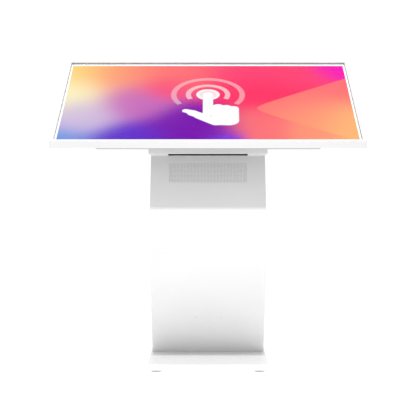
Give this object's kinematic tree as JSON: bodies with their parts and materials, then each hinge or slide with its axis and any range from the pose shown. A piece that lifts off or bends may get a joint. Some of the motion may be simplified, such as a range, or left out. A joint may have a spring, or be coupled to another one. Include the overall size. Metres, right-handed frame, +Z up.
{
  "type": "touchscreen kiosk",
  "caption": "Free-standing touchscreen kiosk: wide tilted screen on a bent sheet-steel column and flat weighted base, with a lockable service door at the back.",
  "frame": {"origin": "on the floor, under the middle of the screen head", "axes": "+Z up, the user stands on the -Y side, +X to the user's right"},
  "size_m": [0.98, 0.5092, 1.0139],
  "materials": {
    "white_coat": "white powder coat, satin",
    "grey_coat": "light grey powder coat, satin",
    "zinc": "zinc-plated sheet steel",
    "screw_steel": "zinc-plated fasteners",
    "satin_steel": "satin nickel",
    "touch_glass": "clear toughened glass",
    "white_ink": "white ink under glass",
    "picture": null,
    "foam": "black foam and mesh",
    "black_plastic": "moulded black",
    "black_metal": "black anodised case",
    "alloy_case": "bare aluminium case",
    "circuit_board": "green solder mask",
    "grey_plastic": "moulded light grey",
    "ballast_iron": "black primer",
    "foot_rubber": "grey moulded pad"
  },
  "bodies": {
    "stand": {"bezel_frame": "white_coat", "glass_gasket": "foam", "touch_glass": "touch_glass", "border_print": "white_ink", "lcd_panel": "picture", "panel_straps": "zinc", "back_pan": "white_coat", "pan_screws": "screw_steel", "rear_housing": "grey_coat", "housing_screws": "screw_steel", "mount_plate": "zinc", "chassis_rails": "zinc", "media_player": "black_metal", "power_supply": "alloy_case", "controller_board": "circuit_board", "board_spacers": "zinc", "neck_cover": "white_coat", "slot_screen": "foam", "neck_screws": "screw_steel", "neck_bracket": "zinc", "neck_bolts": "screw_steel", "head_bolts": "screw_steel", "column_shell": "white_coat", "speaker_grille": "white_coat", "grille_cloth": "foam", "speaker_box": "black_plastic", "speaker_drivers": "black_plastic", "inner_frame": "zinc", "frame_bolts": "screw_steel", "equipment_shelf": "zinc", "junction_box": "grey_plastic", "front_screws": "white_coat", "back_panel": "white_coat", "back_panel_screws": "screw_steel", "door_frame": "zinc", "door_seal": "foam", "lock_keeper": "zinc", "hinge_leaves": "satin_steel", "hinge_pins": "satin_steel", "power_inlet": "black_plastic", "inlet_pins": "screw_steel", "switch_frame": "black_plastic", "wiring_loom": "black_plastic", "base_cover": "white_coat", "ballast_plate": "ballast_iron", "foot_bushes": "screw_steel"},
    "door": {"service_door": "white_coat", "door_hinges": "satin_steel", "lock_body": "satin_steel", "lock_nut": "satin_steel"},
    "lock": {"lock_plug": "satin_steel", "lock_cam": "satin_steel"},
    "switch": {"switch_rocker": "black_plastic"},
    "foot_front_left": {"foot_front_left": "foot_rubber"},
    "foot_front_right": {"foot_front_right": "foot_rubber"},
    "foot_rear_left": {"foot_rear_left": "foot_rubber"},
    "foot_rear_right": {"foot_rear_right": "foot_rubber"}
  },
  "joints": [
    {"name": "door_hinge", "type": "hinge", "parent": "stand", "child": "door", "pos_m": [0.12575, 0.03288, 0.24565], "axis": [0, 0.5284, -0.849], "range_deg": [0, 110]},
    {"name": "lock_turn", "type": "hinge", "parent": "door", "child": "lock", "pos_m": [-0.103, 0.02974, 0.2437], "axis": [0, -0.849, -0.5284], "range_deg": [0, 90]},
    {"name": "switch_rock", "type": "hinge", "parent": "stand", "child": "switch", "pos_m": [-0.015, 0.1243, 0.058], "axis": [-1, 0, 0], "range_deg": [0, 20]},
    {"name": "foot_front_left_adjust", "type": "slide", "parent": "stand", "child": "foot_front_left", "axis": [0, 0, 1], "range_m": [-0.008, 0]},
    {"name": "foot_front_right_adjust", "type": "slide", "parent": "stand", "child": "foot_front_right", "axis": [0, 0, 1], "range_m": [-0.008, 0]},
    {"name": "foot_rear_left_adjust", "type": "slide", "parent": "stand", "child": "foot_rear_left", "axis": [0, 0, 1], "range_m": [-0.008, 0]},
    {"name": "foot_rear_right_adjust", "type": "slide", "parent": "stand", "child": "foot_rear_right", "axis": [0, 0, 1], "range_m": [-0.008, 0]}
  ]
}
